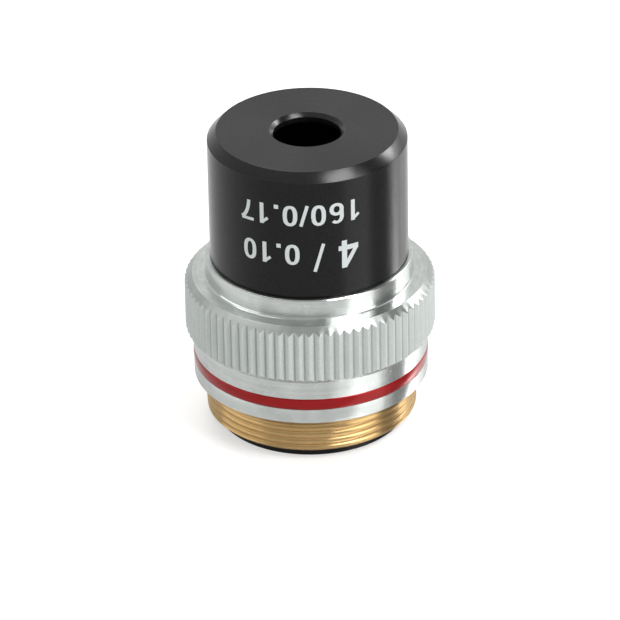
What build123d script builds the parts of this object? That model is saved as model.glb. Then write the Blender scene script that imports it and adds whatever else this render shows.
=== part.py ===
from build123d import *
from math import pi, radians, sqrt, tan
import os

# Low-power microscope objective, all sizes in millimetres.
# It stands on its rear ring with the nose up, and the optical axis is Z.
# A brass barrel carries the rear mounting thread and the lens. A knurled grip
# collar sits round it, and a black nose sleeve screws on and clamps the collar.

# Rear mounting thread, 4/5 inch by 36 threads per inch, and the ring below it
thread_diameter = 20.24
thread_pitch = 25.4 / 36
thread_length = 3.7
thread_lead = 0.25
relief_length = 1.0
relief_clearance = 0.05
foot_step = 0.97
foot_height = 1.0
rear_wall = 1.9
rear_ring_wall = 1.6
rear_ring_depth = 1.8

# Grip collar, from the shoulder upwards
shoulder_width = 1.13
band_height = 4.45
edge_break = 0.12
colour_ring_offset = 1.53
colour_ring_width = 1.13
colour_ring_depth = 0.5
colour_ring_crown = 0.05
knurl_stand = 0.72
knurl_length = 4.7
knurl_count = 78
knurl_land = 0.13
knurl_angle = 105
bevel_angle = 45
corner_radius = 0.2
collar_step = 0.425
collar_height = 2.0

# Nose sleeve
sleeve_step = 0.645
sleeve_length = 13.0
sleeve_wall = 1.0
sleeve_chamfer = 0.85
sleeve_foot_chamfer = 0.18
aperture_diameter = 6.4
aperture_chamfer = 0.36
nose_wall = 0.9
cavity_wall = 1.4

# Brass barrel, with the baffle in its mouth
flange_step = 0.18
flange_height = 0.6
journal_step = 0.45
spigot_length = 4.6
spigot_lead = 0.3
sleeve_clamp_gap = 0.1
thread_runout = 0.5
barrel_wall = 1.055
mouth_wall = 1.25
baffle_thickness = 0.8
baffle_width = 3.225
baffle_seat = 0.6
barrel_lip_height = 3.1

# Inner barrel, which is set to focus by the shim in front and the ring behind
inner_wall = 1.2
inner_lip_height = 1.0
inner_lip_width = 1.1
inner_rim = 0.1
shim_thickness = 0.2
shim_width = 0.7
lock_ring_height = 1.6
lock_ring_width = 1.4

# Lens stack inside the inner barrel
spacer_length = 3.6
spacer_wall = 1.0
baffle_groove_pitch = 0.6
baffle_groove_depth = 0.25
cell_wall = 0.78
cell_lip_height = 0.6
cell_lip_width = 0.7
cell_rim = 0.3
stop_thickness = 0.2
stop_rim = 1.05
clamp_ring_height = 1.2
clamp_ring_width = 1.0

# Cemented doublet, flint towards the specimen and crown towards the image
cement_curve = 14.0
crown_curve = 14.0
flint_centre = 1.2
crown_edge = 0.9
lens_ring_step = 0.4
lens_ring_height = 1.1
lens_seat = 0.6

# Spanner slots in the screwed rings, and the clearance of every sliding fit
slot_width = 1.2
slot_depth = 0.5
fit = 0.02

# Radii of the outside, which all follow the thread
thread_radius = thread_diameter / 2
thread_depth = 0.64 * thread_pitch  # of a thread with 55 degree flanks
relief_radius = thread_radius - thread_depth - relief_clearance
foot_radius = thread_radius - foot_step
rear_ring_radius = thread_radius - rear_wall
rear_ring_bore = rear_ring_radius - rear_ring_wall
band_radius = thread_radius + shoulder_width
groove_radius = band_radius - colour_ring_depth
flange_radius = thread_radius + flange_step
knurl_radius = band_radius + knurl_stand
sleeve_radius = thread_radius - sleeve_step
collar_radius = sleeve_radius + collar_step
aperture_radius = aperture_diameter / 2
cavity_radius = sleeve_radius - cavity_wall

# Radii of the barrel, inwards from the sleeve that screws on it
spigot_radius = sleeve_radius - sleeve_wall
journal_radius = spigot_radius + journal_step
baffle_radius = spigot_radius - mouth_wall
baffle_bore = baffle_radius - baffle_width
barrel_lip_bore = baffle_radius - baffle_seat
barrel_bore = spigot_radius - barrel_wall

# Radii of the lens stack, inwards from the barrel
inner_radius = barrel_bore - fit
shim_bore = inner_radius - shim_width
lock_ring_bore = inner_radius - lock_ring_width
stack_bore = inner_radius - inner_wall
cell_radius = stack_bore - fit
spacer_bore = cell_radius - spacer_wall
inner_lip_bore = cell_radius - inner_lip_width
clamp_ring_bore = cell_radius - clamp_ring_width
lens_ring_radius = cell_radius - cell_wall
lens_radius = lens_ring_radius - lens_ring_step
lens_ring_bore = lens_radius - lens_seat
cell_lip_bore = lens_radius - cell_lip_width
stop_radius = lens_radius - stop_rim

# Heights of the outside, from the rear ring's end face
bevel_height = knurl_stand * tan(radians(bevel_angle))
thread_end = foot_height
shoulder = thread_end + thread_length
rear_ring_top = thread_end + rear_ring_depth
flange_top = shoulder + flange_height
colour_ring_bottom = shoulder + colour_ring_offset
colour_ring_top = colour_ring_bottom + colour_ring_width
band_top = shoulder + band_height
knurl_bottom = band_top + bevel_height
knurl_top = knurl_bottom + knurl_length
ledge = knurl_top + bevel_height
collar_top = ledge + collar_height
journal_top = collar_top - sleeve_clamp_gap
spigot_top = collar_top + spigot_length
sleeve_thread_top = spigot_top + thread_runout
nose = collar_top + sleeve_length

# Heights of the inside, from the barrel's mouth backwards
baffle_bottom = spigot_top - baffle_thickness
barrel_lip_bottom = baffle_bottom - barrel_lip_height
inner_top = barrel_lip_bottom - shim_thickness
spacer_top = inner_top - inner_lip_height
cell_top = spacer_top - spacer_length
stop_top = cell_top - cell_lip_height
flint_front = stop_top - stop_thickness


def sag(curve, radius):
    """Depth of a lens surface of that curve at a distance from the axis."""
    return curve - sqrt(curve**2 - radius**2)


cement_vertex = flint_front - flint_centre
cement_rim = cement_vertex - sag(cement_curve, lens_radius)
crown_rim = cement_rim - crown_edge
crown_vertex = crown_rim - sag(crown_curve, lens_radius)
lens_ring_top = crown_rim - fit
lens_ring_bottom = lens_ring_top - lens_ring_height
cell_bottom = lens_ring_bottom - cell_rim
clamp_ring_bottom = cell_bottom - clamp_ring_height
inner_bottom = clamp_ring_bottom - inner_rim
lock_ring_bottom = inner_bottom - lock_ring_height

os.makedirs("parts", exist_ok=True)


# Nose sleeve: a black cap with the front aperture in its thin end wall
with BuildPart() as nose_sleeve:
    with BuildSketch(Plane.XZ):
        with BuildLine():
            Polyline(
                (spigot_radius + fit, collar_top),
                (sleeve_radius - sleeve_foot_chamfer, collar_top),
                (sleeve_radius, collar_top + sleeve_foot_chamfer),
                (sleeve_radius, nose - sleeve_chamfer),
                (sleeve_radius - sleeve_chamfer, nose),
                (aperture_radius + aperture_chamfer, nose),
                (aperture_radius, nose - aperture_chamfer),
                (aperture_radius, nose - nose_wall),
                (cavity_radius, nose - nose_wall),
                (cavity_radius, sleeve_thread_top),
                (spigot_radius + fit, sleeve_thread_top),
                close=True,
            )
        make_face()
    revolve(axis=Axis.Z)


# Grip collar: band, knurl, bevel, ledge and upstand turned in one piece
with BuildPart() as grip_collar:
    with BuildSketch(Plane.XZ):
        with BuildLine():
            Polyline(
                (journal_radius + fit, collar_top),
                (collar_radius - edge_break, collar_top),
                (collar_radius, collar_top - edge_break),
                (collar_radius, ledge),
                (band_radius, ledge),
                (knurl_radius, knurl_top),
                (knurl_radius, knurl_bottom),
                (band_radius, band_top),
                (band_radius, colour_ring_top),
                (groove_radius, colour_ring_top),
                (groove_radius, colour_ring_bottom),
                (band_radius, colour_ring_bottom),
                (band_radius, shoulder + edge_break),
                (band_radius - edge_break, shoulder),
                (flange_radius + fit, shoulder),
                (flange_radius + fit, flange_top),
                (journal_radius + fit, flange_top),
                close=True,
            )
        make_face()
    revolve(axis=Axis.Z)
    ledge_corner = (
        grip_collar.edges()
        .filter_by(GeomType.CIRCLE)
        .filter_by_position(Axis.Z, ledge - fit, ledge + fit)
        .sort_by(SortBy.RADIUS)[0]
    )
    fillet(ledge_corner, radius=corner_radius)
    # Straight knurl: V grooves that run out through both bevels
    knurl_pitch = 2 * pi * knurl_radius / knurl_count
    groove_half = (knurl_pitch - knurl_land) / 2
    knurl_depth = groove_half / tan(radians(knurl_angle / 2))
    with BuildSketch(Plane.XY.offset(band_top)):
        with PolarLocations(0, knurl_count):
            Polygon(
                (knurl_radius - knurl_depth, 0),
                (knurl_radius + knurl_depth, -2 * groove_half),
                (knurl_radius + knurl_depth, 2 * groove_half),
                align=None,
            )
    extrude(amount=ledge - band_top, mode=Mode.SUBTRACT)


# Colour ring: enamel that fills the groove of the band with a slight crown
with BuildPart() as colour_ring:
    with BuildSketch(Plane.XZ):
        with BuildLine():
            Polyline(
                (band_radius, colour_ring_top),
                (groove_radius + fit, colour_ring_top),
                (groove_radius + fit, colour_ring_bottom),
                (band_radius, colour_ring_bottom),
            )
            ThreePointArc(
                (band_radius, colour_ring_bottom),
                (band_radius + colour_ring_crown, (colour_ring_bottom + colour_ring_top) / 2),
                (band_radius, colour_ring_top),
            )
        make_face()
    revolve(axis=Axis.Z)


# Brass barrel: rear thread, seat flange, journal for the collar and front spigot
with BuildPart() as core_barrel:
    with BuildSketch(Plane.XZ):
        with BuildLine():
            Polyline(
                (rear_ring_radius + fit, thread_end),
                (thread_radius - thread_lead, thread_end),
                (thread_radius, thread_end + thread_lead),
                (thread_radius, shoulder - relief_length),
                (relief_radius, shoulder - relief_length + thread_radius - relief_radius),
                (relief_radius, shoulder),
                (flange_radius, shoulder),
                (flange_radius, flange_top),
                (journal_radius, flange_top),
                (journal_radius, journal_top),
                (spigot_radius, journal_top),
                (spigot_radius, spigot_top - spigot_lead),
                (spigot_radius - spigot_lead, spigot_top),
                (baffle_radius + fit, spigot_top),
                (baffle_radius + fit, baffle_bottom),
                (barrel_lip_bore, baffle_bottom),
                (barrel_lip_bore, barrel_lip_bottom),
                (barrel_bore, barrel_lip_bottom),
                (barrel_bore, rear_ring_top),
                (rear_ring_radius + fit, rear_ring_top),
                close=True,
            )
        make_face()
    revolve(axis=Axis.Z)


# Rear stop ring: screws into the barrel's end, and the objective stands on it
with BuildPart() as rear_stop_ring:
    with BuildSketch(Plane.XZ):
        with BuildLine():
            Polyline(
                (rear_ring_bore, 0),
                (foot_radius - edge_break, 0),
                (foot_radius, edge_break),
                (foot_radius, thread_end),
                (rear_ring_radius, thread_end),
                (rear_ring_radius, rear_ring_top),
                (rear_ring_bore, rear_ring_top),
                close=True,
            )
        make_face()
    revolve(axis=Axis.Z)
    with BuildSketch(Plane.XY):
        Rectangle(2 * rear_ring_radius, slot_width)
    extrude(amount=slot_depth, mode=Mode.SUBTRACT)


# Front baffle: a black disc with a knife-edged hole in the barrel's mouth
with BuildPart() as front_baffle:
    with BuildSketch(Plane.XZ):
        with BuildLine():
            Polyline(
                (baffle_bore, spigot_top),
                (baffle_radius, spigot_top),
                (baffle_radius, baffle_bottom),
                (baffle_bore + baffle_thickness, baffle_bottom),
                close=True,
            )
        make_face()
    revolve(axis=Axis.Z)


# Parfocal shim: the washer that sets how far forward the lens sits
with BuildPart() as parfocal_shim:
    with BuildSketch(Plane.XY.offset(inner_top)):
        Circle(inner_radius)
        Circle(shim_bore, mode=Mode.SUBTRACT)
    extrude(amount=shim_thickness)


# Inner barrel: the tube that holds the lens stack
with BuildPart() as inner_barrel:
    with BuildSketch(Plane.XZ):
        with BuildLine():
            Polyline(
                (inner_lip_bore, inner_top),
                (inner_radius, inner_top),
                (inner_radius, inner_bottom),
                (stack_bore, inner_bottom),
                (stack_bore, spacer_top),
                (inner_lip_bore, spacer_top),
                close=True,
            )
        make_face()
    revolve(axis=Axis.Z)


# Spacer tube: keeps the lens cell in place, grooved inside against stray light
with BuildPart() as spacer_tube:
    with BuildSketch(Plane.XY.offset(cell_top)):
        Circle(cell_radius)
        Circle(spacer_bore, mode=Mode.SUBTRACT)
    extrude(amount=spacer_length)
    groove_count = int(spacer_length / baffle_groove_pitch) - 1
    first_groove = (cell_top + spacer_top - (groove_count - 1) * baffle_groove_pitch) / 2
    with BuildSketch(Plane.XZ):
        with Locations(
            *[(spacer_bore, first_groove + i * baffle_groove_pitch) for i in range(groove_count)]
        ):
            Polygon(
                (-baffle_groove_depth, -2 * baffle_groove_depth),
                (baffle_groove_depth, 0),
                (-baffle_groove_depth, 2 * baffle_groove_depth),
                align=None,
            )
    revolve(axis=Axis.Z, mode=Mode.SUBTRACT)


# Lens cell: a cup with a front lip, threaded behind the lens
with BuildPart() as lens_cell:
    with BuildSketch(Plane.XZ):
        with BuildLine():
            Polyline(
                (cell_lip_bore, cell_top),
                (cell_radius, cell_top),
                (cell_radius, cell_bottom),
                (lens_ring_radius + fit, cell_bottom),
                (lens_ring_radius + fit, crown_rim),
                (lens_radius + fit, crown_rim),
                (lens_radius + fit, stop_top),
                (cell_lip_bore, stop_top),
                close=True,
            )
        make_face()
    revolve(axis=Axis.Z)


# Aperture stop: the thin disc that sets the numerical aperture
with BuildPart() as aperture_stop:
    with BuildSketch(Plane.XY.offset(flint_front)):
        Circle(lens_radius)
        Circle(stop_radius, mode=Mode.SUBTRACT)
    extrude(amount=stop_thickness)


# Flint element: flat in front, hollow behind
with BuildPart() as flint_lens:
    with BuildSketch(Plane.XZ):
        with BuildLine():
            Polyline(
                (0, cement_vertex),
                (0, flint_front),
                (lens_radius, flint_front),
                (lens_radius, cement_rim),
            )
            ThreePointArc(
                (lens_radius, cement_rim),
                (lens_radius / 2, cement_vertex - sag(cement_curve, lens_radius / 2)),
                (0, cement_vertex),
            )
        make_face()
    revolve(axis=Axis.Z)


# Crown element: convex on both sides, cemented into the flint's hollow
with BuildPart() as crown_lens:
    with BuildSketch(Plane.XZ):
        with BuildLine():
            ThreePointArc(
                (0, cement_vertex),
                (lens_radius / 2, cement_vertex - sag(cement_curve, lens_radius / 2)),
                (lens_radius, cement_rim),
            )
            Line((lens_radius, cement_rim), (lens_radius, crown_rim))
            ThreePointArc(
                (lens_radius, crown_rim),
                (lens_radius / 2, crown_vertex + sag(crown_curve, lens_radius / 2)),
                (0, crown_vertex),
            )
            Line((0, crown_vertex), (0, cement_vertex))
        make_face()
    revolve(axis=Axis.Z)


# Lens retaining ring: screws into the cell, with a seat that follows the crown
with BuildPart() as lens_retaining_ring:
    seat_middle = (lens_ring_bore + lens_radius) / 2
    with BuildSketch(Plane.XZ):
        with BuildLine():
            ThreePointArc(
                (lens_ring_bore, crown_vertex + sag(crown_curve, lens_ring_bore) - fit),
                (seat_middle, crown_vertex + sag(crown_curve, seat_middle) - fit),
                (lens_radius, lens_ring_top),
            )
            Polyline(
                (lens_radius, lens_ring_top),
                (lens_ring_radius, lens_ring_top),
                (lens_ring_radius, lens_ring_bottom),
                (lens_ring_bore, lens_ring_bottom),
                (lens_ring_bore, crown_vertex + sag(crown_curve, lens_ring_bore) - fit),
            )
        make_face()
    revolve(axis=Axis.Z)
    with BuildSketch(Plane.XY.offset(lens_ring_bottom)):
        Rectangle(2 * lens_ring_radius, slot_width)
    extrude(amount=slot_depth, mode=Mode.SUBTRACT)


# Stack clamp ring: screws into the inner barrel behind the lens cell
with BuildPart() as stack_clamp_ring:
    with BuildSketch(Plane.XY.offset(clamp_ring_bottom)):
        Circle(cell_radius)
        Circle(clamp_ring_bore, mode=Mode.SUBTRACT)
    extrude(amount=clamp_ring_height)
    with BuildSketch(Plane.XY.offset(clamp_ring_bottom)):
        Rectangle(2 * cell_radius, slot_width)
    extrude(amount=slot_depth, mode=Mode.SUBTRACT)


# Parfocal lock ring: screws into the barrel and holds the inner barrel forward
with BuildPart() as parfocal_lock_ring:
    with BuildSketch(Plane.XY.offset(lock_ring_bottom)):
        Circle(inner_radius)
        Circle(lock_ring_bore, mode=Mode.SUBTRACT)
    extrude(amount=lock_ring_height)
    with BuildSketch(Plane.XY.offset(lock_ring_bottom)):
        Rectangle(2 * inner_radius, slot_width)
    extrude(amount=slot_depth, mode=Mode.SUBTRACT)


pieces = {
    "nose_sleeve": nose_sleeve,
    "grip_collar": grip_collar,
    "colour_ring": colour_ring,
    "core_barrel": core_barrel,
    "rear_stop_ring": rear_stop_ring,
    "front_baffle": front_baffle,
    "parfocal_shim": parfocal_shim,
    "inner_barrel": inner_barrel,
    "spacer_tube": spacer_tube,
    "lens_cell": lens_cell,
    "aperture_stop": aperture_stop,
    "flint_lens": flint_lens,
    "crown_lens": crown_lens,
    "lens_retaining_ring": lens_retaining_ring,
    "stack_clamp_ring": stack_clamp_ring,
    "parfocal_lock_ring": parfocal_lock_ring,
}
for name, piece in pieces.items():
    piece.part.label = name
    export_step(piece.part, f"parts/{name}.step")
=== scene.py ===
from math import cos, pi, radians, sin, sqrt, tan

import bmesh
import bpy
from mathutils import Matrix, Vector


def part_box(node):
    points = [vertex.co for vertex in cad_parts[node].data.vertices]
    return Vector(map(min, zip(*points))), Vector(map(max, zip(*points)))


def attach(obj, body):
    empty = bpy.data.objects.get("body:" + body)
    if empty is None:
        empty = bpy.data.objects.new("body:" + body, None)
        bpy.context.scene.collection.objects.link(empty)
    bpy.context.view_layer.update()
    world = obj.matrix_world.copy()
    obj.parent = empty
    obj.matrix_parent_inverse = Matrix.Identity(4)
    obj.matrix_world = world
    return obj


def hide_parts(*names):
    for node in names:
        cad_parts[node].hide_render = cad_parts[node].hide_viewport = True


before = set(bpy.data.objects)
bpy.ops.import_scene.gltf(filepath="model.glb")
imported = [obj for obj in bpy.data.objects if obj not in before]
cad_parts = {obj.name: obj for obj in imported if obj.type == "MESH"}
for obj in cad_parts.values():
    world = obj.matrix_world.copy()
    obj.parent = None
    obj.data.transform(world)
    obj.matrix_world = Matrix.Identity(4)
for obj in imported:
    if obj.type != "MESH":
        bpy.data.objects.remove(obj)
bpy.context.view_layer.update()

# Low-power microscope objective, dressed for the render. Sizes are in
# millimetres and are turned into metres where a mesh, lamp or camera is made.
MM = 0.001


def cad_size(node):
    """Outer radius, lowest and highest point of a turned node, in millimetres."""
    low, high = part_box(node)
    return high.y / MM, low.z / MM, high.z / MM


# Places read from the frame
sleeve_radius, collar_top, nose = cad_size("nose_sleeve")
knurl_radius, shoulder, _ = cad_size("grip_collar")
flange_radius, thread_end, spigot_top = cad_size("core_barrel")
_, colour_ring_bottom, colour_ring_top = cad_size("colour_ring")
rear_ring_top = cad_size("rear_stop_ring")[2]
baffle_radius, baffle_bottom, _ = cad_size("front_baffle")
inner_radius = cad_size("inner_barrel")[0]
barrel_lip_bottom = cad_size("parfocal_shim")[2]

# Clearance of the sliding fits, and the small round on every turned edge
fit = 0.02
edge_round = 0.05
edge_share = 0.45

# Steps round the axis of the plain rings and of the thread
ring_steps = 320
thread_steps = 360

# Nose sleeve
sleeve_wall = 1.0
sleeve_chamfer = 0.85
sleeve_foot_chamfer = 0.18
aperture_radius = 3.2
aperture_chamfer = 0.36
nose_wall = 0.9
cavity_wall = 1.4
thread_runout = 0.5

# Grip collar
knurl_stand = 0.72
knurl_length = 4.7
knurl_count = 78
knurl_land = 0.13
knurl_angle = 105
knurl_root_lift = 0.02
# Height over the groove roots that the painted shade on the knurl reaches
knurl_shade_height = 0.10
collar_step = 0.425
collar_height = 2.0
ledge_corner = 0.2
ledge_hollow = 0.3
groove_depth = 0.5
edge_break = 0.12
journal_step = 0.45
flange_height = 0.6

# Colour ring, with a slight crown
crown_height = 0.05
crown_steps = 8

# Brass barrel and its rear thread of 36 turns an inch
thread_radius = 10.12
thread_pitch = 25.4 / 36
thread_form = 0.64
thread_groove = 0.20
thread_land = 0.36
thread_round = 0.10
thread_lead = 0.25
thread_rows = 96
relief_length = 1.0
relief_clearance = 0.05
rear_wall = 1.9
sleeve_clamp_gap = 0.1
spigot_lead = 0.3
baffle_seat = 0.6

# Heights, radii and angles that follow
spigot_radius = sleeve_radius - sleeve_wall
journal_radius = spigot_radius + journal_step
cavity_radius = sleeve_radius - cavity_wall
band_radius = knurl_radius - knurl_stand
collar_radius = sleeve_radius + collar_step
ledge = collar_top - collar_height
knurl_top = ledge - knurl_stand
knurl_bottom = knurl_top - knurl_length
band_top = knurl_bottom - knurl_stand
flange_top = shoulder + flange_height
relief_radius = thread_radius - thread_form * thread_pitch - relief_clearance
rear_ring_radius = thread_radius - rear_wall
knurl_step = 2 * pi / knurl_count
knurl_half = (knurl_radius * knurl_step - knurl_land) / 2
knurl_slope = tan(radians(knurl_angle / 2))
knurl_root = knurl_radius - knurl_half / knurl_slope
land_edge = knurl_half / knurl_radius


# Mesh helpers

def soften(outline, radius=edge_round, steps=3):
    """The closed outline with each corner turned into a small curve."""
    soft = []
    for i, corner in enumerate(outline):
        corner = Vector(corner)
        before = Vector(outline[i - 1]) - corner
        after = Vector(outline[(i + 1) % len(outline)]) - corner
        turn = pi - before.angle(after)
        reach = min(radius * tan(turn / 2), edge_share * before.length, edge_share * after.length)
        start = corner + before.normalized() * reach
        end = corner + after.normalized() * reach
        for k in range(steps + 1):
            t = k / steps
            point = start * (1 - t) ** 2 + corner * 2 * t * (1 - t) + end * t**2
            soft.append((point.x, point.y))
    return soft


def new_object(name, mesh):
    """Link a mesh to the scene as an object."""
    piece = bpy.data.objects.new(name, mesh)
    bpy.context.scene.collection.objects.link(piece)
    return piece


def turned(name, angles, outline_at):
    """Closed ring with the outline (radius, height) that the function gives at each angle."""
    outlines = [outline_at(angle) for angle in angles]
    count = len(outlines[0])
    points = []
    faces = []
    for angle, outline in zip(angles, outlines):
        points += [(r * cos(angle) * MM, r * sin(angle) * MM, z * MM) for r, z in outline]
    for i in range(len(angles)):
        j = (i + 1) % len(angles)
        for k in range(count):
            n = (k + 1) % count
            faces.append((i * count + k, j * count + k, j * count + n, i * count + n))
    mesh = bpy.data.meshes.new(name)
    mesh.from_pydata(points, [], faces)
    shape = bmesh.new()
    shape.from_mesh(mesh)
    bmesh.ops.recalc_face_normals(shape, faces=shape.faces)
    shape.to_mesh(mesh)
    shape.free()
    mesh.shade_smooth()
    piece = new_object(name, mesh)
    weighted = piece.modifiers.new("Even shading on the wide faces", "WEIGHTED_NORMAL")
    weighted.weight = 100
    return piece


def even_angles(count):
    """That many equal steps round the axis."""
    return [2 * pi * i / count for i in range(count)]


def is_upright(face):
    """True on a wall."""
    return abs(face.normal.z) < 0.3


def is_sloped(face):
    """True on a chamfer or bevel that looks up."""
    return 0.3 < face.normal.z < 0.95


def place(piece, material, slot, *nodes):
    """Give a piece its material, tie it to the part and let it stand for nodes. The slot is not used."""
    piece.data.materials.append(material)
    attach(piece, "root")
    if nodes:
        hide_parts(*nodes)


# Material helpers

class Nodes:
    """Short ways to add nodes to a tree. A value is a plain value or another node's output."""

    def __init__(self, tree):
        self.tree = tree

    def add(self, kind, **settings):
        """A new node with the settings given."""
        node = self.tree.nodes.new(kind)
        for key, value in settings.items():
            setattr(node, key, value)
        return node

    def join(self, source, target):
        """Link an output to an input."""
        self.tree.links.new(source, target)

    def feed(self, target, value):
        """Set an input to a plain value, or link it to an output."""
        if isinstance(value, bpy.types.NodeSocket):
            self.join(value, target)
        else:
            target.default_value = value

    def math(self, operation, *values):
        """A sum on one or two numbers."""
        node = self.add("ShaderNodeMath", operation=operation)
        for socket, value in zip(node.inputs, values):
            self.feed(socket, value)
        return node.outputs[0]

    def vector_math(self, operation, *values):
        """A sum on one or two vectors. A dot product gives a number."""
        node = self.add("ShaderNodeVectorMath", operation=operation)
        for socket, value in zip(node.inputs, values):
            self.feed(socket, value)
        return node.outputs["Value" if operation == "DOT_PRODUCT" else "Vector"]

    def spread(self, value, low, high, start=0.0, end=1.0):
        """The value, which runs from start to end, turned into low to high."""
        node = self.add("ShaderNodeMapRange")
        self.feed(node.inputs["Value"], value)
        node.inputs["From Min"].default_value = start
        node.inputs["From Max"].default_value = end
        node.inputs["To Min"].default_value = low
        node.inputs["To Max"].default_value = high
        return node.outputs[0]

    def blend(self, share, one, two):
        """Colour between one and two."""
        node = self.add("ShaderNodeMix", data_type="RGBA")
        self.feed(node.inputs[0], share)
        for socket, colour in ((node.inputs[6], one), (node.inputs[7], two)):
            self.feed(socket, (*colour, 1.0) if isinstance(colour, tuple) else colour)
        return node.outputs[2]


class Finish(Nodes):
    """A material of the part: the shader, the place on the part, and marks of making and wear."""

    def __init__(self, name, **sockets):
        self.material = bpy.data.materials.new(name)
        self.material.use_nodes = True
        super().__init__(self.material.node_tree)
        self.shader = self.tree.nodes["Principled BSDF"]
        for socket, value in sockets.items():
            self.shader.inputs[socket.replace("_", " ")].default_value = value
        self.place = self.add("ShaderNodeTexCoord").outputs["Object"]

    def set(self, socket, source):
        """Link an output to one of the shader's sockets."""
        self.join(source, self.shader.inputs[socket])

    def axes(self):
        """Distance from the axis, height and turn about the axis, in metres and radians."""
        split = self.add("ShaderNodeSeparateXYZ")
        self.join(self.place, split.inputs[0])
        x, y, z = split.outputs
        square = self.math("ADD", self.math("MULTIPLY", x, x), self.math("MULTIPLY", y, y))
        return self.math("SQRT", square), z, self.math("ARCTAN2", y, x)

    def noise(self, scale, detail, vector=None):
        """Cloudy noise between 0 and 1, with the scale in patches a metre."""
        node = self.add("ShaderNodeTexNoise")
        self.join(vector or self.place, node.inputs["Vector"])
        node.inputs["Scale"].default_value = scale
        node.inputs["Detail"].default_value = detail
        node.inputs["Roughness"].default_value = 0.55
        return node.outputs["Fac"]

    def turning(self, spacing, drift=0.4 * MM):
        """Noise in rings, as a lathe tool leaves them, with the spacing of the rings in metres."""
        away, height, turn = self.axes()
        vector = self.add("ShaderNodeCombineXYZ")
        self.join(away, vector.inputs[0])
        self.join(height, vector.inputs[1])
        self.join(self.math("MULTIPLY", self.math("SINE", turn), drift), vector.inputs[2])
        return self.noise(1 / spacing, 2.0, vector.outputs[0])

    def patches(self, noise, start=0.3, end=0.7):
        """Noise with more contrast: 0 below the start and 1 above the end."""
        return self.spread(noise, 0.0, 1.0, start, end)

    def bump(self, height, distance):
        """Raise the surface by that height, in metres at full height."""
        node = self.add("ShaderNodeBump")
        node.inputs["Strength"].default_value = 1.0
        node.inputs["Distance"].default_value = distance
        self.join(height, node.inputs["Height"])
        self.join(node.outputs[0], self.shader.inputs["Normal"])

    def turned_sheen(self):
        """Stretch highlights across the tool marks, which run round the axis."""
        tangent = self.add("ShaderNodeTangent", direction_type="RADIAL", axis="Z")
        self.join(tangent.outputs[0], self.shader.inputs["Tangent"])


def black_anodised(name, roughness, coat_index=1.22, coat_roughness=0.16):
    """Satin black anodised aluminium with faint turning marks, a dusty bloom and fine grain."""
    finish = Finish(
        name, IOR=1.45, Specular_IOR_Level=0.14, Anisotropic=0.8, Anisotropic_Rotation=0.25,
        Coat_Weight=1.0, Coat_IOR=coat_index, Coat_Roughness=coat_roughness,
    )
    marks = finish.turning(0.11 * MM)
    bloom = finish.noise(420.0, 4.0)
    grain = finish.patches(finish.noise(5600.0, 3.0), 0.35, 0.7)
    haze = finish.blend(bloom, (0.0016, 0.0017, 0.0017), (0.0038, 0.0040, 0.0040))
    finish.set("Base Color", finish.blend(grain, haze, (0.0085, 0.0088, 0.0088)))
    dull = finish.spread(bloom, roughness - 0.03, roughness + 0.03)
    finish.set("Roughness", finish.math("ADD", finish.spread(marks, -0.04, 0.06), dull))
    finish.bump(marks, 0.004 * MM)
    finish.turned_sheen()
    return finish.material


def turned_aluminium(name, roughness, darkening):
    """Turned aluminium with fine tool marks, wider streaks, haze and small specks, its base colour
    blended towards dark grey by a given share.
    """
    finish = Finish(name, Metallic=1.0, Anisotropic=0.9, Anisotropic_Rotation=0.25)
    marks = finish.turning(0.14 * MM)
    streaks = finish.patches(finish.turning(0.45 * MM))
    haze = finish.patches(finish.noise(700.0, 5.0))
    specks = finish.patches(finish.noise(5200.0, 3.0))
    worn = finish.blend(streaks, (0.54, 0.565, 0.55), (0.78, 0.81, 0.79))
    clean = finish.blend(haze, (0.60, 0.625, 0.61), (0.84, 0.87, 0.85))
    # Darker base colour: blended towards dark grey by the share given, which the bevel uses
    grey = finish.blend(darkening, finish.blend(0.5, worn, clean), (0.30, 0.315, 0.305))
    speckled = finish.blend(finish.math("MULTIPLY", specks, 0.5), grey, (0.50, 0.52, 0.51))
    finish.set("Base Color", speckled)
    tool = finish.spread(marks, roughness, roughness + 0.10)
    finish.set("Roughness", finish.math("ADD", tool, finish.spread(haze, 0.07, 0.0)))
    finish.bump(marks, 0.005 * MM)
    finish.turned_sheen()
    return finish.material


def knurled_aluminium():
    """Matt aluminium of the pressed knurl, with painted shade in the roots of its grooves."""
    finish = Finish("knurled_aluminium", Metallic=0.35, IOR=1.45, Specular_IOR_Level=0.2)
    grain = finish.noise(5200.0, 4.0)
    cloud = finish.noise(400.0, 4.0)
    away, _, _ = finish.axes()
    # Painted shade: the base colour darkens to dark grey towards the roots of the grooves
    shade_floor = (knurl_root + knurl_root_lift) * MM
    shade_top = (knurl_root + knurl_shade_height) * MM
    root = finish.spread(away, 0.5, 0.0, shade_floor, shade_top)
    pale = finish.blend(cloud, (0.60, 0.635, 0.615), (0.68, 0.715, 0.695))
    plain = finish.blend(finish.spread(grain, 0.0, 0.4, 0.35, 0.7), pale, (0.50, 0.53, 0.515))
    finish.set("Base Color", finish.blend(root, plain, (0.20, 0.21, 0.205)))
    finish.set("Roughness", finish.spread(grain, 0.60, 0.75))
    finish.bump(grain, 0.006 * MM)
    return finish.material


def red_enamel():
    """Clear red enamel over bright metal, a little uneven, with a glossy coat."""
    finish = Finish(
        "red_enamel", Metallic=0.5, IOR=1.45, Specular_IOR_Level=0.1,
        Coat_Weight=1.0, Coat_IOR=1.3, Coat_Roughness=0.12,
    )
    cloud = finish.noise(500.0, 4.0)
    finish.set("Base Color", finish.blend(cloud, (0.29, 0.002, 0.003), (0.36, 0.003, 0.005)))
    finish.set("Roughness", finish.spread(cloud, 0.26, 0.36))
    finish.bump(finish.noise(900.0, 2.0), 0.01 * MM)
    return finish.material


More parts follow.
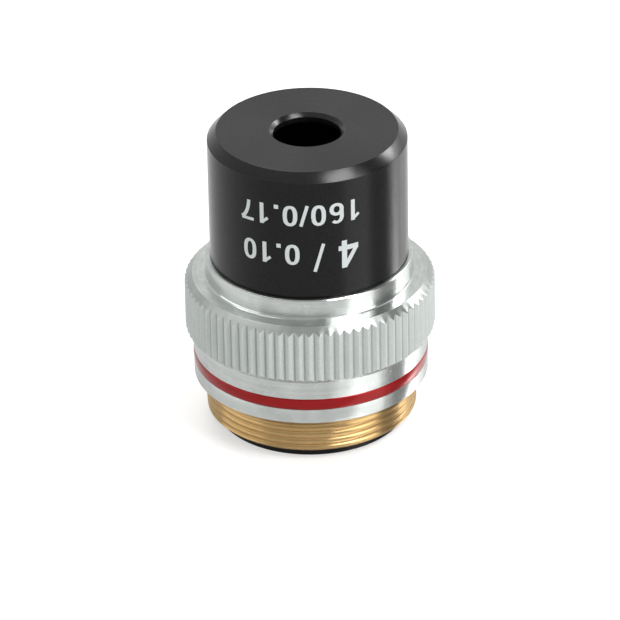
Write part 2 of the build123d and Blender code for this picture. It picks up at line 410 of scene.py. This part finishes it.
def brass(name, dark, light, roughness, spacing):
    """Brass with tool marks round it and brown tarnish in patches."""
    finish = Finish(name, Metallic=1.0, Anisotropic=0.8, Anisotropic_Rotation=0.25)
    marks = finish.turning(spacing)
    cloud = finish.noise(300.0, 5.0)
    finish.set("Base Color", finish.blend(finish.patches(cloud), dark, light))
    dull = finish.spread(cloud, roughness + 0.06, roughness - 0.04)
    finish.set("Roughness", finish.math("ADD", finish.spread(marks, -0.06, 0.08), dull))
    finish.bump(marks, 0.006 * MM)
    finish.turned_sheen()
    return finish.material


def blackened_brass():
    """Chemically blackened brass: matt, brown-black, rubbed at the tool marks."""
    finish = Finish("blackened_brass", Metallic=0.6)
    marks = finish.turning(0.12 * MM)
    cloud = finish.noise(350.0, 4.0)
    finish.set("Base Color", finish.blend(cloud, (0.012, 0.011, 0.010), (0.035, 0.030, 0.024)))
    finish.set("Roughness", finish.spread(marks, 0.5, 0.68))
    finish.bump(marks, 0.006 * MM)
    return finish.material


def lens_glass(name, index, tint):
    """Polished glass with a faint film of dust on it."""
    finish = Finish(name, IOR=index, Transmission_Weight=1.0, Coat_Weight=0.3, Coat_Roughness=0.02)
    dust = finish.noise(1500.0, 3.0)
    finish.set("Base Color", finish.blend(dust, tint, (0.98, 0.98, 0.98)))
    finish.set("Roughness", finish.spread(dust, 0.0, 0.03, 0.55, 0.8))
    return finish.material


def pale_filling():
    """Matt pale paint with small pits."""
    finish = Finish("pale_filling", IOR=1.45)
    grain = finish.noise(6000.0, 3.0)
    finish.set("Base Color", finish.blend(grain, (0.62, 0.66, 0.66), (0.72, 0.76, 0.76)))
    finish.set("Roughness", finish.spread(grain, 0.5, 0.7))
    finish.bump(grain, 0.006 * MM)
    return finish.material


sleeve_black = black_anodised("sleeve_black", roughness=0.34)
chamfer_black = black_anodised("chamfer_black", roughness=0.24, coat_index=1.37, coat_roughness=0.24)
inner_black = black_anodised("inner_black", roughness=0.5)
bright_aluminium = turned_aluminium("bright_aluminium", roughness=0.14, darkening=0.0)
bevel_aluminium = turned_aluminium("bevel_aluminium", roughness=0.28, darkening=0.4)
knurl_aluminium = knurled_aluminium()
enamel = red_enamel()
thread_brass = brass(
    "thread_brass", dark=(0.52, 0.33, 0.135), light=(0.66, 0.44, 0.20), roughness=0.28, spacing=0.13 * MM
)
shim_brass = brass(
    "shim_brass", dark=(0.56, 0.40, 0.18), light=(0.68, 0.50, 0.26), roughness=0.25, spacing=0.30 * MM
)
dark_brass = blackened_brass()
crown_glass = lens_glass("crown_glass", index=1.517, tint=(0.96, 0.98, 0.97))
flint_glass = lens_glass("flint_glass", index=1.62, tint=(0.97, 0.97, 0.93))
filling = pale_filling()


# Nose sleeve, with shinier chamfers at its outer edge and at its hole

def sleeve_outline(_angle):
    """Section through the black sleeve and its thin end wall."""
    return soften([
        (spigot_radius + fit, collar_top),
        (sleeve_radius - sleeve_foot_chamfer, collar_top),
        (sleeve_radius, collar_top + sleeve_foot_chamfer),
        (sleeve_radius, nose - sleeve_chamfer),
        (sleeve_radius - sleeve_chamfer, nose),
        (aperture_radius + aperture_chamfer, nose),
        (aperture_radius, nose - aperture_chamfer),
        (aperture_radius, nose - nose_wall),
        (cavity_radius, nose - nose_wall),
        (cavity_radius, spigot_top + thread_runout),
        (spigot_radius + fit, spigot_top + thread_runout),
    ])


sleeve = turned("sleeve", even_angles(ring_steps), sleeve_outline)
place(sleeve, sleeve_black, "black_anodised", "nose_sleeve")
sleeve.data.materials.append(chamfer_black)
for face in sleeve.data.polygons:
    if is_sloped(face) and face.center.z / MM > nose - sleeve_chamfer - edge_round:
        face.material_index = 1


# Grip collar, with V grooves that run out through both bevels

def knurl_angles():
    """Angles of the knurl's roots, flanks and lands, in shares of half a groove."""
    shares = (-1.06, -0.92, -0.08, 0.0, 0.08, 0.92, 1.06)
    return [knurl_step * i + share * land_edge for i in range(knurl_count) for share in shares]


def knurl_reach(angle):
    """Radius of the knurl at an angle: a groove's flank, or the land between two grooves."""
    turn = abs((angle + knurl_step / 2) % knurl_step - knurl_step / 2)
    flank = knurl_root / (cos(turn) - sin(turn) / knurl_slope)
    return min(max(flank, knurl_root + knurl_root_lift), knurl_radius)


def collar_outline(angle):
    """Section through the grip collar at an angle."""
    reach = knurl_reach(angle)
    stand = reach - band_radius
    hollow = ledge_hollow * ledge_corner
    return soften([
        (journal_radius + fit, flange_top),
        (journal_radius + fit, collar_top),
        (collar_radius - edge_break, collar_top),
        (collar_radius, collar_top - edge_break),
        (collar_radius, ledge + ledge_corner),
        (collar_radius + hollow, ledge + hollow),
        (collar_radius + ledge_corner, ledge),
        (band_radius, ledge),
        (reach, ledge - stand),
        (reach, band_top + stand),
        (band_radius, band_top),
        (band_radius, colour_ring_top),
        (band_radius - groove_depth, colour_ring_top),
        (band_radius - groove_depth, colour_ring_bottom),
        (band_radius, colour_ring_bottom),
        (band_radius, shoulder + edge_break),
        (band_radius - edge_break, shoulder),
        (flange_radius + fit, shoulder),
        (flange_radius + fit, flange_top),
    ])


collar = turned("collar", knurl_angles(), collar_outline)
place(collar, bright_aluminium, "bright_aluminium", "grip_collar")
collar.data.materials.append(knurl_aluminium)
collar.data.materials.append(bevel_aluminium)
knurl_foot = band_radius + 0.2
for face in collar.data.polygons:
    reach = face.center.xy.length / MM
    if is_upright(face) and reach > knurl_foot:
        face.material_index = 1
    elif is_sloped(face) and reach > band_radius - edge_round:
        face.material_index = 2


# Colour ring

def ring_outline(_angle):
    """Section through the red enamel in its groove."""
    middle = (colour_ring_bottom + colour_ring_top) / 2
    half = (colour_ring_top - colour_ring_bottom) / 2
    crown = []
    for k in range(crown_steps + 1):
        share = 2 * k / crown_steps - 1
        crown.append((band_radius + crown_height * (1 - share**2), middle + half * share))
    inner = band_radius - groove_depth + fit
    return [(inner, colour_ring_top), (inner, colour_ring_bottom), *crown]


ring = turned("red_ring", even_angles(ring_steps), ring_outline)
place(ring, enamel, "red_enamel", "colour_ring")


# Brass barrel with a real right-handed thread

def thread_reach(angle, height):
    """Radius of the thread: flat crests, and V grooves with soft edges and roots."""
    turns = height / thread_pitch - angle / (2 * pi)
    off = abs(turns % 1 - 0.5) * thread_pitch
    half = (thread_pitch - thread_land) / 2
    depth = thread_groove * (1 - off / half)
    soft = sqrt(depth**2 + thread_round**2)
    return thread_radius - min((depth + soft) / 2, thread_groove - thread_round / 2)


def barrel_outline(angle):
    """Section through the barrel at an angle."""
    bottom = thread_end
    top = shoulder - relief_length + thread_radius - relief_radius
    thread = []
    for k in range(thread_rows + 1):
        height = bottom + (top - bottom) * k / thread_rows
        lead = thread_radius - thread_lead + (height - bottom)
        runout = max(relief_radius + (top - height), relief_radius)
        thread.append((min(thread_reach(angle, height), lead, runout), height))
    body = [
        (relief_radius, shoulder),
        (flange_radius, shoulder),
        (flange_radius, flange_top),
        (journal_radius, flange_top),
        (journal_radius, collar_top - sleeve_clamp_gap),
        (spigot_radius, collar_top - sleeve_clamp_gap),
        (spigot_radius, spigot_top - spigot_lead),
        (spigot_radius - spigot_lead, spigot_top),
        (baffle_radius + fit, spigot_top),
        (baffle_radius + fit, baffle_bottom),
        (baffle_radius - baffle_seat, baffle_bottom),
        (baffle_radius - baffle_seat, barrel_lip_bottom),
        (inner_radius + fit, barrel_lip_bottom),
        (inner_radius + fit, rear_ring_top),
        (rear_ring_radius + fit, rear_ring_top),
        (rear_ring_radius + fit, thread_end),
    ]
    return thread + body


barrel = turned("barrel", even_angles(thread_steps), barrel_outline)
place(barrel, thread_brass, "turned_brass", "core_barrel")


# Numerals on the sleeve, which read upright when the objective hangs in use
fill_rise = 0.015
fill_depth = 0.05
line_slope = 0.022
upper_line = 27.15
lower_line = 23.05
small = 2.15
large = 2.9
same_point = 1e-6

# Each digit with its distance along the sleeve and its height
tube_and_cover = [
    ("1", 5.17, small), ("6", 3.55, small), ("0", 1.83, small), ("/", 0.47, small),
    ("0", -0.85, small), (".", -2.18, small), ("1", -3.64, small), ("7", -5.2, small),
]
power_and_aperture = [
    ("4", 4.26, large), ("/", 1.83, large), ("0", -0.70, small), (".", -2.0, small),
    ("1", -3.43, small), ("0", -5.0, small),
]


def straight(start, end, steps=16):
    """Points along a line."""
    return [tuple(Vector(start).lerp(Vector(end), k / steps)) for k in range(steps + 1)]


def round_path(centre, wide, high, begin, finish, fullness=2.0, steps=32):
    """Points along part of an oval, in degrees from its right side. More fullness squares it."""
    path = []
    for k in range(steps + 1):
        angle = radians(begin + (finish - begin) * k / steps)
        x, y = cos(angle), sin(angle)
        size = (abs(x) ** fullness + abs(y) ** fullness) ** (-1 / fullness)
        path.append((centre[0] + wide * size * x, centre[1] + high * size * y))
    return path


def digit(name, height):
    """The strokes of a digit that stands on the line: a path with its pen's width and height."""
    pen = (0.40, 0.31)
    if name == "0":
        oval = round_path((0, height / 2), 0.49, height / 2 - 0.16, 0, 360, 2.5, 48)
        return [(oval, pen)]
    if name == "1":
        stem = straight((0, 0), (0, height))
        flag = straight((-0.06, height - 0.17), (-0.60, height - 0.62), 8)
        return [(stem, pen), (flag, (0.29, 0.29))]
    if name == "6":
        bowl = round_path((0, 0.65), 0.49, 0.50, 0, 360, 2.1, 40)
        tail = round_path((0, height - 0.83), 0.5, 0.68, 180, 48, 2.2, 28)
        back = straight((-0.49, 0.65), tail[0], 8)
        return [(bowl, pen), (back[:-1] + tail, (0.38, 0.29))]
    if name == "7":
        bar = straight((-0.68, height - 0.16), (0.66, height - 0.16))
        stem = round_path((0.98, -0.12), 1.15, height, 176, 106, 2.0, 20)
        return [(bar, (0.30, 0.30)), (stem, (0.36, 0.36))]
    if name == "4":
        stem = straight((0, 0), (0, height))
        bar = straight((-1.42, 0.78), (0.58, 0.78))
        slant = straight((-1.25, 0.86), (-0.06, height - 0.14))
        return [(stem, (0.52, 0.52)), (bar, (0.50, 0.50)), (slant, (0.42, 0.42))]
    if name == "/":
        lean = 0.145 * height
        return [(straight((-lean, 0), (lean, height)), (0.32, 0.32))]
    dot = straight((0, 0), (0, 0.42), 3)
    return [(dot, (0.42, 0.42))]


def stroke(shape, path, pen, place_on, closed):
    """Add a strip of paint along a path, drawn with an oval pen."""
    rows = []
    count = len(path)
    for i, point in enumerate(path):
        ahead = Vector(path[(i + 1) % count] if closed else path[min(i + 1, count - 1)])
        behind = Vector(path[i - 1] if closed or i else path[0])
        along = (ahead - behind).normalized()
        side = Vector((-along.y * pen[0] / 2, along.x * pen[1] / 2))
        left = Vector(point) + side
        right = Vector(point) - side
        rows.append([
            shape.verts.new(place_on(left, fill_rise)),
            shape.verts.new(place_on(right, fill_rise)),
            shape.verts.new(place_on(right, -fill_depth)),
            shape.verts.new(place_on(left, -fill_depth)),
        ])
    pairs = list(zip(rows, rows[1:]))
    if closed:
        pairs.append((rows[-1], rows[0]))
    for one, two in pairs:
        for k in range(4):
            n = (k + 1) % 4
            shape.faces.new((one[k], two[k], two[n], one[n]))
    if not closed:
        shape.faces.new(rows[0])
        shape.faces.new(rows[-1][::-1])


def write_line(shape, digits, line):
    """Draw digits at their places along a line at that height."""
    for name, along, height in digits:
        def place_on(point, rise):
            """A point of the digit, upside down on the sleeve and raised from it."""
            arc = along - point.x
            angle = arc / sleeve_radius
            radius = sleeve_radius + rise
            height_on = line - point.y + line_slope * arc
            return (radius * sin(angle) * MM, -radius * cos(angle) * MM, height_on * MM)

        for path, pen in digit(name, height):
            closed = (Vector(path[0]) - Vector(path[-1])).length < same_point
            stroke(shape, path[:-1] if closed else path, pen, place_on, closed)


paint = bmesh.new()
write_line(paint, tube_and_cover, upper_line)
write_line(paint, power_and_aperture, lower_line)
bmesh.ops.recalc_face_normals(paint, faces=paint.faces)
paint_mesh = bpy.data.meshes.new("numerals")
paint.to_mesh(paint_mesh)
paint.free()
numerals = new_object("numerals", paint_mesh)
place(numerals, filling, "pale_filling")


# Materials of the solids that stay as they are
cad_finishes = {
    "rear_stop_ring": sleeve_black,
    "front_baffle": inner_black,
    "spacer_tube": inner_black,
    "parfocal_shim": shim_brass,
    "inner_barrel": dark_brass,
    "lens_cell": dark_brass,
    "aperture_stop": dark_brass,
    "lens_retaining_ring": dark_brass,
    "stack_clamp_ring": dark_brass,
    "parfocal_lock_ring": dark_brass,
    "crown_lens": crown_glass,
    "flint_lens": flint_glass,
}
for node, material in cad_finishes.items():
    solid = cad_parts[node]
    solid.data.materials.clear()
    solid.data.materials.append(material)


# The camera and the light turn about the axis together, in degrees, and look at one height
camera_turn = 5.4
swing = Matrix.Rotation(radians(camera_turn), 4, "Z")
aim_height = 15.0

# Floor: white to the eye and paler than the room in metal and glass, with the part's shadow on it
floor_size = 1.2
floor_gap = 0.02 * MM
floor_grey = (0.58, 0.58, 0.58, 1.0)
floor_glow = 0.54
reflected_share = 0.22
floor_polish = 0.35
polish_roughness = 0.1

# A wedge of the floor looks more polished in metal, so that a dark gap shows there between
# the soft boxes. Its side is in degrees from the camera side towards +X, and its polish
# fades from the inner to the outer half width.
wedge_start = Vector((5.0, -7.2, 0.0)) * MM
wedge_side = 94.0
wedge_inner = 9.0
wedge_outer = 18.0
wedge_polish = 0.9


def floor_material():
    """White table that keeps a soft shadow and mirrors the soft boxes in the metal."""
    material = bpy.data.materials.new("floor_white")
    material.use_nodes = True
    material.node_tree.nodes.clear()
    nodes = Nodes(material.node_tree)
    rays = nodes.add("ShaderNodeLightPath").outputs
    spot = nodes.add("ShaderNodeTexCoord").outputs["Object"]

    # Polish, which shows in metal only
    side = radians(wedge_side + camera_turn)
    from_start = nodes.vector_math("SUBTRACT", spot, swing.to_3x3() @ wedge_start)
    heading = nodes.vector_math("NORMALIZE", from_start)
    along = nodes.vector_math("DOT_PRODUCT", heading, (sin(side), -cos(side), 0.0))
    fade = (cos(radians(wedge_outer)), cos(radians(wedge_inner)))
    polished = nodes.spread(along, floor_polish, wedge_polish, *fade)
    matt = nodes.add("ShaderNodeBsdfDiffuse")
    matt.inputs["Color"].default_value = floor_grey
    polish = nodes.add("ShaderNodeBsdfAnisotropic")
    polish.inputs["Roughness"].default_value = polish_roughness
    table = nodes.add("ShaderNodeMixShader")
    nodes.join(nodes.math("MULTIPLY", polished, rays["Is Glossy Ray"]), table.inputs["Fac"])
    nodes.join(matt.outputs[0], table.inputs[1])
    nodes.join(polish.outputs[0], table.inputs[2])

    # Glow, which is full to the eye and weaker in metal and glass
    reflected = nodes.math("ADD", rays["Is Glossy Ray"], rays["Is Transmission Ray"])
    weaker = nodes.math("MULTIPLY", reflected, reflected_share)
    seen = nodes.math("ADD", rays["Is Camera Ray"], weaker)
    glow = nodes.add("ShaderNodeEmission")
    nodes.join(nodes.math("MULTIPLY", seen, floor_glow), glow.inputs["Strength"])
    total = nodes.add("ShaderNodeAddShader")
    nodes.join(table.outputs[0], total.inputs[0])
    nodes.join(glow.outputs[0], total.inputs[1])
    nodes.join(total.outputs[0], nodes.add("ShaderNodeOutputMaterial").inputs["Surface"])
    return material


floor_mesh = bpy.data.meshes.new("floor")
floor_shape = bmesh.new()
bmesh.ops.create_grid(floor_shape, x_segments=1, y_segments=1, size=floor_size / 2)
floor_shape.to_mesh(floor_mesh)
floor_shape.free()
floor_mesh.materials.append(floor_material())
floor = new_object("floor", floor_mesh)
floor.location.z = -floor_gap


# Studio light: a pale room that is brighter behind the part and darker between the soft boxes.
# Each level belongs to a side, in degrees from the camera side towards +X.
room_light = 1.2
room_tint = (0.97, 0.98, 0.965)
room_by_side = (
    (-180, 0.72), (-130, 0.52), (-90, 0.44), (-40, 0.46), (0, 0.42), (35, 0.30),
    (78, 0.10), (104, 0.10), (135, 0.70), (180, 0.70),
)


def pale_room():
    """World lit by side. To the eye it is white."""
    room = bpy.data.worlds.new("pale_room")
    room.use_nodes = True
    nodes = Nodes(room.node_tree)
    look = nodes.add("ShaderNodeTexCoord").outputs["Generated"]
    turned_look = nodes.add("ShaderNodeVectorRotate", rotation_type="Z_AXIS")
    turned_look.inputs["Angle"].default_value = -radians(camera_turn)
    nodes.join(look, turned_look.inputs["Vector"])
    split = nodes.add("ShaderNodeSeparateXYZ")
    nodes.join(turned_look.outputs[0], split.inputs[0])
    x, y, _ = split.outputs
    side = nodes.math("ARCTAN2", x, nodes.math("MULTIPLY", y, -1.0))
    ramp = nodes.add("ShaderNodeValToRGB")
    nodes.join(nodes.spread(side, 0.0, 1.0, -pi, pi), ramp.inputs["Fac"])
    stops = ramp.color_ramp.elements
    for degrees, _ in room_by_side[1:-1]:
        stops.new(degrees / 360 + 0.5)
    for stop, (_, level) in zip(stops, room_by_side):
        stop.color = (*[part * level for part in room_tint], 1.0)
    to_eye = nodes.add("ShaderNodeLightPath").outputs["Is Camera Ray"]
    background = room.node_tree.nodes["Background"]
    shown = nodes.blend(to_eye, ramp.outputs["Color"], (1.0, 1.0, 1.0))
    nodes.join(shown, background.inputs["Color"])
    nodes.join(nodes.spread(to_eye, room_light, 1.0), background.inputs["Strength"])
    return room


bpy.context.scene.world = pale_room()

# Soft boxes: the side and height over the table in degrees, the size in metres and the power
box_distance = 0.60
soft_boxes = (
    ("right_box", 57, 28, (0.31, 0.44), 1.3),
    ("right_core", 48, 55, (0.25, 0.15), 1.5),
    ("side_box", 126, 29, (0.26, 0.24), 0.4),
    ("side_core", 119, 31, (0.12, 0.12), 0.6),
    ("left_box", -80, 8, (0.60, 0.15), 0.50),
    ("back_box", -150, 66, (0.28, 0.28), 1.3),
)


def soft_box(name, azimuth, elevation, size, power):
    """Area lamp that looks at the part, with the azimuth counted from the camera side towards +X."""
    lamp = bpy.data.lights.new(name, "AREA")
    lamp.shape = "RECTANGLE"
    lamp.size, lamp.size_y = size
    lamp.energy = power
    side = radians(azimuth + camera_turn)
    lift = radians(elevation)
    away = Vector((sin(side) * cos(lift), -cos(side) * cos(lift), sin(lift)))
    box = bpy.data.objects.new(name, lamp)
    box.location = Vector((0, 0, aim_height)) * MM + away * box_distance
    box.rotation_mode = "QUATERNION"
    box.rotation_quaternion = (-away).to_track_quat("-Z", "Y")
    bpy.context.scene.collection.objects.link(box)


for box_values in soft_boxes:
    soft_box(*box_values)


# Camera, at the photograph's angle: it looks at the axis, then turns a little
camera_lift = radians(28.952)
camera_away = 512.74
lens_length = 311.7
pan = radians(0.003)
tilt = radians(-0.413)
roll = radians(1.048)

camera = bpy.data.objects.new("camera", bpy.data.cameras.new("camera"))
camera.data.sensor_width = 36.0
camera.data.lens = lens_length
camera.data.clip_start = 0.05
camera.data.clip_end = 20.0
ahead = Vector((0, cos(camera_lift), -sin(camera_lift)))
right = Vector((1, 0, 0))
up = right.cross(ahead)
spot = (Vector((0, 0, aim_height)) - ahead * camera_away) * MM
aimed = Matrix((right, up, -ahead)).transposed()
for axis, angle in ((1, pan), (0, tilt), (2, -roll)):
    aimed = Matrix.Rotation(angle, 3, aimed.col[axis]) @ aimed
camera.matrix_world = swing @ Matrix.Translation(spot) @ aimed.to_4x4()
bpy.context.scene.collection.objects.link(camera)
bpy.context.scene.camera = camera
bpy.context.scene.view_settings.view_transform = "Standard"
